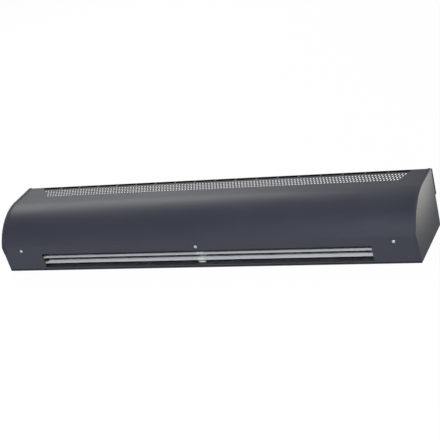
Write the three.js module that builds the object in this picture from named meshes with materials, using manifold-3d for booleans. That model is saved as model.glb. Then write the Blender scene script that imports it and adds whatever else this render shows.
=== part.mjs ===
// Air curtain: a long sheet-metal casing of D-shaped section, shown lying on its flat mounting side.
// X runs along the casing, -Y is the side with the outlet slot, +Z is away from the mounting side.
// All sizes are in millimetres. Sections are drawn as [y, z] points, with y = 0 at the lower front edge.

import * as THREE from 'three';
import { mergeVertices } from 'three/addons/utils/BufferGeometryUtils.js';
import Module from 'manifold-3d';

const wasm = await Module();
wasm.setup();

// ---------- driving dimensions ----------

const gap = 0.3;                 // left between two pieces that touch
const casingLength = 1070;
const casingDepth = 181;         // lower front edge to the rear side
const casingHeight = 143;
const sheet = 1.2;               // casing sheet metal
const ductSheet = 1.0;           // inner air duct sheet metal

// curved front of the casing
const creaseHeight = 70.4;
const creaseForward = 7.9;       // how far the crease stands in front of the lower edge
const bulgeRadius = 117;
const bulgeSteps = 18;
const hemHeight = 3.4;           // the cover's lower fold, above the mounting side
const hemDepth = 6;

// outlet slot in the lower front strip
const slotLow = 8.7;
const slotHigh = 48.4;
const endBayLength = 108;        // closed part of the strip at each end

// air intake: a row of slots in the flat top and one long window in the rear grille
const intakePitch = 54.35;
const intakeMargin = 44;         // closed part at each end
const intakeBridge = 3.5;
const topSlotWidth = 10.2;
const topSlotInset = 1.8;        // from the rear edge of the cover
const coverFold = 6;             // rear fold of the cover
const grilleHeight = 67;         // its lower edge, below the top of the casing
const grilleDrop = 4;            // its upper edge, below the top of the casing
const grilleThickness = 2.4;
const grilleFlange = 8;          // depth of the flanges round its edge
const grilleFlangeSheet = 1.5;
const windowTop = 7;             // below the top of the casing
const windowHeight = 34;
const windowMargin = 25;         // from each end of the grille

// base tray
const rearWallHeight = 88;
const lipThickness = 2.2;
const lipDepth = 7;
const keyholeInset = 185;        // from each end of the casing
const keyholeRadius = 5;
const keyholeSlotWidth = 5;
const keyholeSlotLength = 12;

// end panels
const rimSheet = 0.9;
const rimWidth = 6;
const rimEndHeight = 52;         // the rim stops here, just under the crease
const panelFlange = 12;

// bulkheads that close the duct
const bulkheadMargin = 4;        // outside the end of the slot
const bulkheadClearance = 2.5;   // to the inside of the cover
const bulkheadDepth = 158;
const bulkheadFoot = 12;
const bulkheadCorner = { depth: 36, height: 20 };  // cut off under the intake, so that air passes
const hubHoleRadius = 14;

// cross-flow impeller
const spaceUnderImpeller = 30;
const spaceOverImpeller = 29;
const ductLength = 53;           // lower front edge to the front of the impeller
const impellerEndGap = 7;        // to each bulkhead
const bladeCount = 20;
const bladeDepth = 8.5;
const bladeThickness = 1.1;
const discCount = 7;
const discThickness = 1.6;
const discRimInset = 0.4;
const tongueGap = 5;
const scrollGapStart = 17;       // under the impeller
const scrollGapEnd = 5;          // behind it

// shaft, coupling, bearing and motor
const shaftRadius = 4;
const couplingRadius = 12;
const couplingLength = 16;
const couplingFloor = 4;
const idlerHubRadius = 10;
const idlerHubOut = 4;
const idlerHubDepth = 16;
const bushRadius = 9;
const bushLength = 9;
const holderRadius = 15;
const holderFlangeRadius = 22;
const motorRadius = 32;
const motorLength = 48;
const motorBossRadius = 11.5;
const motorBossLength = 5;
const motorBracketSheet = 1.6;
const motorBracketHalfWidth = 40;
const motorBracketFoot = 24;

// outlet vanes
const vaneChord = 23;
const vaneThickness = 1.6;
const vaneSpacing = 15.6;
const vaneDrop = 1.15;           // middle of the two vanes, under the middle of the slot
const vaneRecess = 2.5;          // front edge behind the casing face
const vaneEndGap = 2.5;           // vane end to the end of the slot
const vaneCapWidth = 4;
const vaneCapHeight = 5;
const vaneCapDepth = 9;
const vaneCapRecess = 1.5;       // behind the front edge of the vane
const vanePinRadius = 1.8;
const combWidth = 17;
const combSheet = 1.4;
const combFootSetback = 4.5;     // front of its foot, behind the front of its teeth

// heating elements
const rodRadius = 3.75;
const rodRoomBelow = 12.3;       // lower leg's axis above the lower edge of the slot
const rodRoomAbove = 9.3;         // upper leg's axis under the upper edge of the slot
const rodFront = 34;
const elementSpacing = 12;
const rodBendMargin = 18;        // bend to the right bulkhead
const rodTail = 16;              // past the left bulkhead
const rodPinLength = 8;
const heaterBracketAt = 210;
const heaterBracketMargin = 1.4;

// electrical pieces in the end bays
const terminalBlock = { length: 62, depth: 26, height: 20, ways: 6, y: 98 };
const capacitor = { radius: 14, length: 52, fromBracket: 3 };
const relay = { length: 42, depth: 32, height: 30, y: 26 };
const relayRoom = 4;             // to the pins of the heating elements
const cutout = { radius: 9, length: 7, y: 60, z: 100 };
const earthStud = { radius: 2.5, height: 16, nutRadius: 4.6, nutHeight: 3.6, y: 146, fromFoot: 14 };
const grommet = { bore: 6, neck: 9.7, flange: 14, lip: 2.6, groove: 1.8, z: 34 };

// fasteners
const screwHeadRadius = 4;
const screwHeadHeight = 2.4;
const screwShankRadius = 1.9;
const screwShankLength = 7;
const coverScrewHeight = 59.6;
const coverScrewInset = 53.5;    // outer cover screws, from the ends of the casing
const grilleScrewHeight = 83;
const grilleScrewInset = 90;
const coverBracketRoom = 26;     // bracket to the end panel
const coverBracketLow = 50;
const coverBracketHigh = 68;
const coverBracketLeg = 20;

// ---------- sizes worked out from the above ----------

const halfLength = casingLength / 2;
const panelInside = halfLength - sheet;
const slotHalf = halfLength - endBayLength;
const intakeCount = Math.floor((casingLength - 2 * intakeMargin) / intakePitch);
const coverHalf = panelInside - gap;
const rimProud = gap + rimSheet;
const crease = [-creaseForward, creaseHeight];
const bulgeCentreZ = casingHeight - bulgeRadius;
const bulgeCentreY = crease[0] + Math.sqrt(bulgeRadius ** 2 - (crease[1] - bulgeCentreZ) ** 2);
const floorTop = sheet + gap;    // lowest height of a piece that stands on the tray
const bulkheadInside = slotHalf + bulkheadMargin;
const bulkheadOutside = bulkheadInside + ductSheet;
const ductHalf = bulkheadInside - gap;
const impellerRadius = (casingHeight - spaceUnderImpeller - spaceOverImpeller) / 2;
const hubY = ductLength + impellerRadius;
const hubZ = spaceUnderImpeller + impellerRadius;
const impellerHalf = bulkheadInside - impellerEndGap;
const shaftHole = shaftRadius + gap;
const slotMiddle = (slotLow + slotHigh) / 2;
const vaneHalf = slotHalf - vaneEndGap;
const vaneMiddle = slotMiddle - vaneDrop;
const vaneHeights = { upper: vaneMiddle + vaneSpacing / 2, lower: vaneMiddle - vaneSpacing / 2 };
const trayFront = stripY(hemHeight);
const originY = (trayFront + casingDepth) / 2;

// ---------- finishes ----------

const finishes = {
  casing: new THREE.MeshStandardMaterial({ color: 0x47494e, roughness: 0.42, metalness: 0.35 }),
  grille: new THREE.MeshStandardMaterial({ color: 0x141516, roughness: 0.55, metalness: 0.2 }),
  zinc: new THREE.MeshStandardMaterial({ color: 0xb4b7ba, roughness: 0.4, metalness: 0.9 }),
  vane: new THREE.MeshStandardMaterial({ color: 0xb3b8bf, roughness: 0.3, metalness: 0.9 }),
  steel: new THREE.MeshStandardMaterial({ color: 0x8c9094, roughness: 0.35, metalness: 0.95 }),
  impeller: new THREE.MeshStandardMaterial({ color: 0xa9adb0, roughness: 0.4, metalness: 0.85 }),
  motor: new THREE.MeshStandardMaterial({ color: 0x33363a, roughness: 0.5, metalness: 0.5 }),
  rubber: new THREE.MeshStandardMaterial({ color: 0x1b1b1c, roughness: 0.85, metalness: 0 }),
  bronze: new THREE.MeshStandardMaterial({ color: 0x9a7440, roughness: 0.4, metalness: 0.9 }),
  paleResin: new THREE.MeshStandardMaterial({ color: 0xd6dac2, roughness: 0.5, metalness: 0 }),
  clipResin: new THREE.MeshStandardMaterial({ color: 0xdfe3e6, roughness: 0.4, metalness: 0 }),
  element: new THREE.MeshStandardMaterial({ color: 0x5b5550, roughness: 0.5, metalness: 0.8 }),
  darkResin: new THREE.MeshStandardMaterial({ color: 0x2a2c2e, roughness: 0.5, metalness: 0 }),
};

// ---------- working with solids ----------

function toSolid(geometry) {
  const bare = geometry.clone();
  bare.deleteAttribute('normal');
  bare.deleteAttribute('uv');
  const merged = mergeVertices(bare, 1e-4);
  return new wasm.Manifold(new wasm.Mesh({
    numProp: 3,
    vertProperties: new Float32Array(merged.attributes.position.array),
    triVerts: new Uint32Array(merged.index.array),
  }));
}

function toGeometry(solid) {
  const mesh = solid.getMesh();
  const geometry = new THREE.BufferGeometry();
  geometry.setAttribute('position', new THREE.BufferAttribute(mesh.vertProperties, 3));
  geometry.setIndex(new THREE.BufferAttribute(mesh.triVerts, 1));
  return geometry;
}

function join(...solids) {
  return solids.reduce((whole, piece) => whole.add(piece));
}

function cut(solid, tools) {
  return tools.reduce((rest, tool) => rest.subtract(tool), solid);
}

function box(x0, x1, y0, y1, z0, z1) {
  const geometry = new THREE.BoxGeometry(x1 - x0, y1 - y0, z1 - z0);
  return toSolid(geometry.translate((x0 + x1) / 2, (y0 + y1) / 2, (z0 + z1) / 2));
}

// a section of [y, z] points drawn out along X
function alongX(points, x0, x1) {
  const shape = new THREE.Shape(points.map(([y, z]) => new THREE.Vector2(y, z)));
  const geometry = new THREE.ExtrudeGeometry(shape, { depth: x1 - x0, bevelEnabled: false });
  geometry.applyMatrix4(new THREE.Matrix4().makeBasis(
    new THREE.Vector3(0, 1, 0), new THREE.Vector3(0, 0, 1), new THREE.Vector3(1, 0, 0)));
  return toSolid(geometry.translate(x0, 0, 0));
}

// a rod from one point to another
function rod(from, to, radius, sides) {
  const start = new THREE.Vector3(...from);
  const run = new THREE.Vector3(...to).sub(start);
  const geometry = new THREE.CylinderGeometry(radius, radius, run.length(), sides);
  geometry.applyQuaternion(new THREE.Quaternion().setFromUnitVectors(
    new THREE.Vector3(0, 1, 0), run.clone().normalize()));
  return toSolid(geometry.translate(...start.addScaledVector(run, 0.5).toArray()));
}

function rodX(x0, x1, y, z, radius, sides) {
  return rod([x0, y, z], [x1, y, z], radius, sides);
}

// a turned piece: [distance along the axis, radius] points, closed by the axis
function turned(profile, sides) {
  const points = profile.map(([along, radius]) => new THREE.Vector2(radius, along));
  return new THREE.LatheGeometry(points, sides);
}

function turnedX(profile, y, z, sides) {
  const geometry = turned(profile, sides);
  return toSolid(geometry.rotateZ(-Math.PI / 2).translate(0, y, z));
}

// ---------- sections of the casing ----------

function stripY(z) {
  return -creaseForward * z / creaseHeight;
}

// a path moved to its right-hand side, with its corners kept sharp
function shifted(path, distance) {
  const normals = path.slice(1).map(([y, z], i) => {
    const run = Math.hypot(y - path[i][0], z - path[i][1]);
    return [(z - path[i][1]) / run, -(y - path[i][0]) / run];
  });
  return path.map(([y, z], i) => {
    const before = normals[Math.max(i - 1, 0)];
    const after = normals[Math.min(i, normals.length - 1)];
    const share = distance / (1 + before[0] * after[0] + before[1] * after[1]);
    return [y + share * (before[0] + after[0]), z + share * (before[1] + after[1])];
  });
}

function folded(path, thickness) {
  return [...path, ...shifted(path, thickness).reverse()];
}

function bulgePoints() {
  const start = Math.atan2(crease[1] - bulgeCentreZ, crease[0] - bulgeCentreY);
  const points = [];
  for (let i = 0; i <= bulgeSteps; i += 1) {
    const angle = start + (Math.PI / 2 - start) * i / bulgeSteps;
    points.push([
      bulgeCentreY + bulgeRadius * Math.cos(angle),
      bulgeCentreZ + bulgeRadius * Math.sin(angle),
    ]);
  }
  return points;
}

// outside of the cover, from a height on the front strip to the rear edge of the flat top
function frontOutline(fromHeight) {
  return [[stripY(fromHeight), fromHeight], ...bulgePoints(), [casingDepth, casingHeight]];
}

// place across the front strip: 0 is its outside, and more is further in
function behindStrip(z, depth) {
  return [stripY(z) + depth, z];
}

// ---------- fasteners ----------

// a pan-head screw whose head sits on a face: seat point, direction out of the face
function panScrew(seat, out) {
  const outward = new THREE.Vector3(...out).normalize();
  const at = (distance) => new THREE.Vector3(...seat).addScaledVector(outward, distance).toArray();
  const profile = [
    [gap, 0], [gap, screwHeadRadius], [gap + screwHeadHeight * 0.5, screwHeadRadius],
    [gap + screwHeadHeight * 0.85, screwHeadRadius * 0.72], [gap + screwHeadHeight, screwHeadRadius * 0.3],
    [gap + screwHeadHeight, 0],
  ];
  const head = turned(profile, 16);
  head.applyQuaternion(new THREE.Quaternion().setFromUnitVectors(new THREE.Vector3(0, 1, 0), outward));
  return join(toSolid(head.translate(...seat)), rod(at(-screwShankLength), at(gap + 0.5), screwShankRadius, 12));
}

function screwHole(seat, out) {
  const outward = new THREE.Vector3(...out).normalize();
  const at = (distance) => new THREE.Vector3(...seat).addScaledVector(outward, distance).toArray();
  return rod(at(-screwShankLength), at(screwShankLength), screwShankRadius + gap, 12);
}

const stripOut = [0, -creaseHeight, -creaseForward];
const outerCoverScrew = halfLength - coverScrewInset;
const coverScrews = { left: -outerCoverScrew, centre: 0, right: outerCoverScrew };
const coverScrewSeat = (x) => [x, ...behindStrip(coverScrewHeight, 0)];
const grilleScrews = [-1, -1 / 3, 1 / 3, 1].map((share) => share * (halfLength - grilleScrewInset));
const grilleFace = casingDepth + gap + grilleThickness;
const grilleScrewSeat = (x) => [x, grilleFace, grilleScrewHeight];

// ---------- casing ----------

function intakeStarts() {
  const first = -intakeCount * intakePitch / 2 + intakeBridge / 2;
  return Array.from({ length: intakeCount }, (_, i) => first + i * intakePitch);
}

const openingLength = intakePitch - intakeBridge;

function frontCover() {
  const outline = frontOutline(hemHeight);
  const hem = [stripY(hemHeight) + hemDepth, hemHeight];
  const rearFold = [casingDepth, casingHeight - coverFold];
  const shell = alongX(folded([hem, ...outline, rearFold], sheet), -coverHalf, coverHalf);
  const slot = box(-slotHalf, slotHalf, crease[0] * 2, hemDepth * 3, slotLow, slotHigh);
  const rear = casingDepth - topSlotInset;
  const topSlots = intakeStarts().map((x) => box(
    x, x + openingLength, rear - topSlotWidth, rear, casingHeight - coverFold + 1, casingHeight + 1));
  const holes = Object.values(coverScrews).map((x) => screwHole(coverScrewSeat(x), stripOut));
  return cut(shell, [slot, ...topSlots, ...holes]);
}

function rearIntakeGrille() {
  const front = casingDepth + gap;
  const back = front + grilleFlange;
  const low = casingHeight - grilleHeight;
  const high = casingHeight - grilleDrop;
  const inside = halfLength - grilleFlangeSheet;
  const plate = box(-halfLength, halfLength, front, back, low, high);
  const pocket = box(-inside, inside, grilleFace, back + 1, low + grilleFlangeSheet, high - grilleFlangeSheet);
  const top = casingHeight - windowTop;
  const windowHalf = halfLength - windowMargin;
  const window = box(-windowHalf, windowHalf, casingDepth - 1, grilleFace + 1, top - windowHeight, top);
  const holes = grilleScrews.map((x) => screwHole(grilleScrewSeat(x), [0, 1, 0]));
  return cut(plate, [pocket, window, ...holes]);
}

function grommetAt() {
  return [-(bulkheadOutside + panelInside) / 2, casingDepth, grommet.z];
}

function baseTray() {
  const section = [
    [trayFront, 0], [casingDepth, 0], [casingDepth, rearWallHeight], [casingDepth - sheet, rearWallHeight],
    [casingDepth - sheet, sheet], [lipDepth, sheet], [lipDepth, lipThickness], [trayFront, lipThickness],
  ];
  const tray = alongX(section, -coverHalf, coverHalf);
  const keyholes = [-1, 1].flatMap((side) => {
    const x = side * (halfLength - keyholeInset);
    const half = keyholeSlotWidth / 2;
    return [
      rod([x, originY, -1], [x, originY, floorTop + 1], keyholeRadius, 20),
      box(x - half, x + half, originY, originY + keyholeSlotLength, -1, floorTop + 1),
    ];
  });
  const holes = grilleScrews.map((x) => screwHole(grilleScrewSeat(x), [0, 1, 0]));
  const [gx, gy, gz] = grommetAt();
  const cableHole = rod([gx, gy - 4, gz], [gx, gy + 4, gz], grommet.neck + gap, 24);
  return cut(tray, [...keyholes, ...holes, cableHole]);
}

// outline of the rim at a distance outside the cover, from its lower end to the rear edge
function rimOutline(distance) {
  const outline = shifted(frontOutline(rimEndHeight), -distance);
  outline[0] = behindStrip(rimEndHeight, -distance);
  outline[outline.length - 1] = [casingDepth, casingHeight + distance];
  return outline;
}

function endPanel(side) {
  const face = [
    [trayFront, 0], behindStrip(hemHeight, 0), behindStrip(rimEndHeight, 0), ...rimOutline(rimProud),
    [casingDepth, 0],
  ];
  const rimSection = [...rimOutline(rimProud), ...rimOutline(gap).reverse()];
  const rimInside = panelInside - rimWidth;
  const flangeInside = panelInside - panelFlange;
  const rearInside = casingDepth - sheet - gap;
  const panel = join(
    alongX(face, panelInside, halfLength),
    alongX(rimSection, rimInside, panelInside + sheet / 2),
    box(flangeInside, panelInside + sheet / 2, lipDepth * 3, rearInside - panelFlange, floorTop, floorTop + sheet),
    box(flangeInside, panelInside + sheet / 2, rearInside - sheet, rearInside, panelFlange,
      rearWallHeight - panelFlange),
  );
  return side > 0 ? panel : mirrored(panel);
}

function mirrored(solid) {
  return solid.mirror([1, 0, 0]);
}

// ---------- air duct ----------

function aroundHub(angle, radius) {
  const turn = THREE.MathUtils.degToRad(angle);
  return [hubY + radius * Math.cos(turn), hubZ + radius * Math.sin(turn)];
}

// upper face of the duct floor and of the scroll that leads round under the impeller
function scrollPath() {
  const firstAngle = -115;
  const lastAngle = 50;
  const steps = 14;
  const path = [[stripY(slotLow) + sheet + gap * 2, slotLow - gap]];
  for (let i = 0; i <= steps; i += 1) {
    const share = i / steps;
    const room = scrollGapStart + (scrollGapEnd - scrollGapStart) * share;
    path.push(aroundHub(firstAngle + (lastAngle - firstAngle) * share, impellerRadius + room));
  }
  return path;
}

function scrollHousing() {
  return alongX(folded(scrollPath(), ductSheet), -ductHalf, ductHalf);
}

function ductFloor(y) {
  const [[y0, z0], [y1, z1]] = scrollPath();
  return z0 + (z1 - z0) * (y - y0) / (y1 - y0);
}

// upper duct wall, with a front flange for the cover screw and a tongue beside the impeller
function vortexTongue() {
  const inside = sheet + gap * 2;
  const path = [
    behindStrip(coverBracketHigh, inside),
    behindStrip(slotHigh + 0.8, inside),
    [hubY - impellerRadius - tongueGap * 2, slotHigh + tongueGap / 2],
    aroundHub(207, impellerRadius + tongueGap),
    aroundHub(196, impellerRadius + tongueGap + 0.6),
    aroundHub(185, impellerRadius + tongueGap + 1.2),
    aroundHub(171, impellerRadius + tongueGap * 2.2),
  ];
  const wall = alongX(folded(path, -ductSheet), -ductHalf, ductHalf);
  return cut(wall, [screwHole(coverScrewSeat(0), stripOut)]);
}

function heaterRodPlaces() {
  const columns = [rodFront, rodFront + elementSpacing];
  return columns.map((y) => [[y, slotLow + rodRoomBelow], [y, slotHigh - rodRoomAbove]]);
}

function bulkhead(side) {
  const inner = shifted(frontOutline(slotLow - 2), sheet + bulkheadClearance)
    .filter(([y, z]) => y < bulkheadDepth && z > hemHeight);
  const top = casingHeight - sheet - bulkheadClearance;
  const frontFoot = stripY(hemHeight) + hemDepth + bulkheadClearance;
  const outline = [
    [frontFoot, floorTop], [frontFoot, inner[0][1]], ...inner, [bulkheadDepth - bulkheadCorner.depth, top],
    [bulkheadDepth, top - bulkheadCorner.height], [bulkheadDepth, floorTop],
  ];
  const foot = box(bulkheadInside, bulkheadOutside + bulkheadFoot, frontFoot + panelFlange,
    bulkheadDepth - panelFlange, floorTop, floorTop + ductSheet);
  const plate = join(alongX(outline, bulkheadInside, bulkheadOutside), foot);
  const tools = [rodX(bulkheadInside - 1, bulkheadOutside + 1, hubY, hubZ, hubHoleRadius, 28)];
  if (side < 0) {
    for (const [y, z] of heaterRodPlaces().flat()) {
      tools.push(rodX(bulkheadInside - 1, bulkheadOutside + 1, y, z, rodRadius + gap, 16));
    }
  }
  const cutPlate = cut(plate, tools);
  return side > 0 ? cutPlate : mirrored(cutPlate);
}

// bracket behind the cover in an end bay, for one cover screw
function coverBracket(side) {
  const inside = sheet + gap * 2;
  const start = bulkheadOutside + gap;
  const flange = alongX(folded([
    behindStrip(coverBracketHigh, inside), behindStrip(coverBracketLow, inside),
  ], -sheet), start, panelInside - coverBracketRoom);
  const [legY] = behindStrip(coverBracketLow, inside);
  const leg = box(start, start + sheet, legY + sheet / 2, legY + coverBracketLeg,
    coverBracketLow + 1, coverBracketHigh - 1);
  const bracket = cut(join(flange, leg), [screwHole(coverScrewSeat(outerCoverScrew), stripOut)]);
  return side > 0 ? bracket : mirrored(bracket);
}

// ---------- impeller, shafts and bearing ----------

function bladeSection(turn) {
  const outer = impellerRadius - discRimInset - 0.6;
  const inner = outer - bladeDepth;
  const lean = THREE.MathUtils.degToRad(9);
  const middle = [(outer + inner) / 2, lean * 0.85];
  const spine = [[inner, 0], middle, [outer, lean]];
  const place = (radius, angle) => aroundHub(THREE.MathUtils.radToDeg(turn + angle), radius);
  const half = bladeThickness / 2;
  const side = (sign) => spine.map(([radius, angle]) => place(radius, angle + sign * half / radius));
  return [...side(1), ...side(-1).reverse()];
}

function impeller() {
  const hubInner = impellerRadius - bladeDepth - 4;
  const discs = [];
  for (let i = 0; i < discCount; i += 1) {
    const x = -impellerHalf + (2 * impellerHalf - discThickness) * i / (discCount - 1);
    const disc = rodX(x, x + discThickness, hubY, hubZ, impellerRadius - discRimInset, 40);
    const open = i > 0 && i < discCount - 1;
    discs.push(open ? disc.subtract(rodX(x - 1, x + discThickness + 1, hubY, hubZ, hubInner, 32)) : disc);
  }
  const blades = Array.from({ length: bladeCount }, (_, i) => alongX(
    bladeSection(2 * Math.PI * i / bladeCount).reverse(), -impellerHalf + 0.4, impellerHalf - 0.4));
  const hubEnd = -impellerHalf + idlerHubDepth;
  const hub = rodX(-impellerHalf - idlerHubOut, hubEnd, hubY, hubZ, idlerHubRadius, 20);
  const bore = rodX(-impellerHalf - idlerHubOut - 1, hubEnd - sheet, hubY, hubZ, shaftHole, 16);
  return cut(join(...discs, ...blades, hub), [bore]);
}

const couplingStart = impellerHalf + gap;
const couplingEnd = couplingStart + couplingLength;
const motorFront = couplingEnd + gap * 2;
const bracketStart = motorFront + motorBossLength - motorBracketSheet - gap;
const motorBodyStart = motorFront + motorBossLength;
const idlerInnerEnd = -impellerHalf + idlerHubDepth - sheet - gap * 2;
const holderFace = -(bulkheadOutside + gap);
const holderEnd = holderFace - bushLength - gap * 2 - sheet * 2;

function driveCoupling() {
  const ribs = [[couplingStart, 0], [couplingStart, couplingRadius]];
  for (let i = 1; i < 4; i += 1) {
    const x = couplingStart + couplingLength * i / 4;
    ribs.push([x - 1, couplingRadius], [x, couplingRadius - 1.6], [x + 1, couplingRadius]);
  }
  ribs.push([couplingEnd, couplingRadius], [couplingEnd, 0]);
  const body = turnedX(ribs, hubY, hubZ, 24);
  return cut(body, [rodX(couplingStart + couplingFloor, couplingEnd + 1, hubY, hubZ, shaftHole, 16)]);
}

function motorShaft() {
  const start = couplingStart + couplingFloor + gap;
  return rodX(start, motorBodyStart + motorLength / 3, hubY, hubZ, shaftRadius, 16);
}

function idlerShaft() {
  return rodX(holderEnd + sheet + gap, idlerInnerEnd, hubY, hubZ, shaftRadius, 16);
}

function bearingBush() {
  const end = holderFace - sheet;
  const ring = rodX(end - bushLength, end, hubY, hubZ, bushRadius, 24);
  return cut(ring, [rodX(end - bushLength - 1, end + 1, hubY, hubZ, shaftHole, 16)]);
}

// rubber cup on the left bulkhead that holds the bush
function bearingHolder() {
  const lip = bushRadius - 2;
  const cup = turnedX([
    [holderEnd, 0], [holderEnd, holderRadius - 1.5], [holderEnd + 1.5, holderRadius],
    [holderFace - 3, holderRadius], [holderFace - 2, holderFlangeRadius], [holderFace, holderFlangeRadius],
    [holderFace, 0],
  ], hubY, hubZ, 28);
  const pocket = rodX(holderFace - sheet - bushLength - gap, holderFace - sheet + gap, hubY, hubZ,
    bushRadius + gap, 24);
  const mouth = rodX(holderFace - sheet, holderFace + 1, hubY, hubZ, lip, 20);
  const shaftRoom = rodX(holderEnd + sheet, holderFace, hubY, hubZ, shaftHole + 0.4, 16);
  return cut(cup, [pocket, mouth, shaftRoom]);
}

// ---------- motor ----------

function motorBody() {
  const end = motorBodyStart + motorLength;
  const shell = turnedX([
    [motorFront, 0], [motorFront, motorBossRadius], [motorBodyStart, motorBossRadius],
    [motorBodyStart, motorRadius - 2], [motorBodyStart + 2, motorRadius], [end - 4, motorRadius],
    [end, motorRadius - 4], [end, motorBossRadius + 3], [end + 4, motorBossRadius + 1], [end + 4, 0],
  ], hubY, hubZ, 32);
  const shaftRoom = rodX(motorFront - 1, motorBodyStart + motorLength / 3 + 1, hubY, hubZ, shaftHole, 16);
  const vents = Array.from({ length: 10 }, (_, i) => {
    const [y, z] = aroundHub(36 * i, motorRadius - 9);
    return rodX(end - 3, end + 1, y, z, 3, 10);
  });
  return cut(shell, [shaftRoom, ...vents]);
}

function motorBracket() {
  const plate = box(bracketStart, bracketStart + motorBracketSheet, hubY - motorBracketHalfWidth,
    hubY + motorBracketHalfWidth, floorTop, hubZ + motorRadius);
  const foot = box(bracketStart, bracketStart + motorBracketFoot, hubY - motorBracketHalfWidth,
    hubY + motorBracketHalfWidth, floorTop, floorTop + motorBracketSheet);
  const bossHole = rodX(bracketStart - 1, bracketStart + motorBracketSheet + 1, hubY, hubZ,
    motorBossRadius + gap, 24);
  return cut(join(plate, foot), [bossHole]);
}

// ---------- outlet vanes ----------

function vaneFront(z) {
  return stripY(z) + vaneRecess;
}

function vane(z) {
  const front = vaneFront(z);
  const half = vaneThickness / 2;
  const section = [
    [front, z - half * 0.5], [front + 1, z - half], [front + vaneChord - 1.5, z - half * 0.8],
    [front + vaneChord, z], [front + vaneChord - 1.5, z + half * 0.8], [front + 1, z + half],
    [front, z + half * 0.5],
  ];
  return alongX(section, -vaneHalf, vaneHalf);
}

function vaneCap(z, side) {
  const front = vaneFront(z);
  const start = vaneHalf + gap;
  const end = start + vaneCapWidth;
  const half = vaneCapHeight / 2;
  const cap = join(
    box(start, end, front + vaneCapRecess, front + vaneCapDepth, z - half, z + half),
    rodX(end - 1, bulkheadInside - gap, front + vaneCapDepth / 2, z, vanePinRadius, 12),
  );
  return side > 0 ? cap : mirrored(cap);
}

// comb at mid-length: it stands on the duct floor and holds both vanes apart
function vaneComb() {
  const clear = vaneThickness / 2 + gap;
  const back = vaneFront(vaneHeights.lower) + vaneChord + gap;
  const spineBack = back + combSheet * 1.5;
  const toothFront = vaneFront(vaneHeights.lower) + 2.5;
  const tooth = (z) => [
    [back, z - combSheet], [toothFront, z - combSheet], [toothFront, z], [back, z],
  ];
  const footFront = toothFront + combFootSetback;
  const topFace = vaneHeights.upper + clear + combSheet;
  const section = [
    [spineBack, topFace], [spineBack, ductFloor(spineBack) + gap], [footFront, ductFloor(footFront) + gap],
    [footFront, ductFloor(footFront) + gap + combSheet], [back, ductFloor(back) + gap + combSheet],
    ...tooth(vaneHeights.lower - clear),
    ...tooth(vaneHeights.lower + clear + combSheet),
    ...tooth(vaneHeights.upper - clear),
    [back, vaneHeights.upper + clear], [toothFront, vaneHeights.upper + clear], [toothFront, topFace],
  ];
  return alongX(section.reverse(), -combWidth / 2, combWidth / 2);
}

// ---------- heating elements ----------

function heaterElement([[y, low], [, high]]) {
  const bendX = bulkheadInside - rodBendMargin;
  const tailX = -(bulkheadOutside + rodTail);
  const middle = (low + high) / 2;
  const bendRadius = (high - low) / 2;
  const arc = new THREE.CatmullRomCurve3(Array.from({ length: 9 }, (_, i) => {
    const angle = -Math.PI / 2 + Math.PI * i / 8;
    return new THREE.Vector3(bendX + bendRadius * Math.cos(angle), y, middle + bendRadius * Math.sin(angle));
  }));
  const round = new THREE.Shape(Array.from({ length: 12 }, (_, i) => new THREE.Vector2(
    rodRadius * Math.cos(Math.PI * i / 6), rodRadius * Math.sin(Math.PI * i / 6))));
  const bend = new THREE.ExtrudeGeometry(round, { steps: 10, extrudePath: arc, bevelEnabled: false });
  return join(
    toSolid(bend),
    rodX(tailX, bendX + 0.4, y, low, rodRadius * 1.004, 12),
    rodX(tailX, bendX + 0.4, y, high, rodRadius * 1.004, 12),
    rodX(tailX - rodPinLength, tailX + 1, y, low, rodRadius * 0.45, 10),
    rodX(tailX - rodPinLength, tailX + 1, y, high, rodRadius * 0.45, 10),
  );
}

function heaterBracket(x) {
  const places = heaterRodPlaces();
  const front = places[0][0][0] - rodRadius - heaterBracketMargin;
  const back = places[1][0][0] + rodRadius + heaterBracketMargin;
  const top = places[0][1][1] + rodRadius + heaterBracketMargin;
  const plate = alongX([
    [front, ductFloor(front) + gap], [back, ductFloor(back) + gap], [back, top], [front, top],
  ], x, x + ductSheet);
  return cut(plate, places.flat().map(([y, z]) => rodX(x - 1, x + ductSheet + 1, y, z, rodRadius * 1.004 + gap, 16)));
}

// ---------- electrical pieces ----------

const leftBay = -(bulkheadOutside + bulkheadFoot + 1);
const rightBay = bulkheadOutside + bulkheadFoot + 1;

function terminals() {
  const { length, depth, height, ways, y } = terminalBlock;
  const x0 = leftBay - length;
  const body = box(x0, leftBay, y, y + depth, floorTop, floorTop + height);
  const way = length / ways;
  const tools = [];
  for (let i = 0; i < ways; i += 1) {
    const x = x0 + way * (i + 0.5);
    tools.push(rod([x, y + depth / 2, floorTop + height - 9], [x, y + depth / 2, floorTop + height + 1], 2.6, 10));
    if (i > 0) {
      tools.push(box(x0 + way * i - 0.6, x0 + way * i + 0.6, y - 1, y + depth + 1, floorTop + height - 6,
        floorTop + height + 1));
    }
  }
  return cut(body, tools);
}

function motorCapacitor() {
  const { radius, length, fromBracket } = capacitor;
  const start = rightBay;
  const y = hubY - motorBracketHalfWidth - fromBracket - radius;
  return join(
    turnedX([
      [start, 0], [start, radius - 1], [start + 1, radius], [start + length - 1, radius],
      [start + length, radius - 1], [start + length, 0],
    ], y, floorTop + radius, 24),
    rodX(start + length - 1, start + length + 7, y, floorTop + radius, 3.2, 10),
  );
}

function heaterRelay() {
  const { length, depth, height, y } = relay;
  const x1 = -(bulkheadOutside + rodTail + rodPinLength + relayRoom);
  const x0 = x1 - length;
  return join(
    box(x0, x1, y, y + depth, floorTop, floorTop + height),
    box(x0 + 6, x0 + 12, y + 5, y + depth - 5, floorTop + height - 1, floorTop + height + 5),
    box(x1 - 12, x1 - 6, y + 5, y + depth - 5, floorTop + height - 1, floorTop + height + 5),
  );
}

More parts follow.
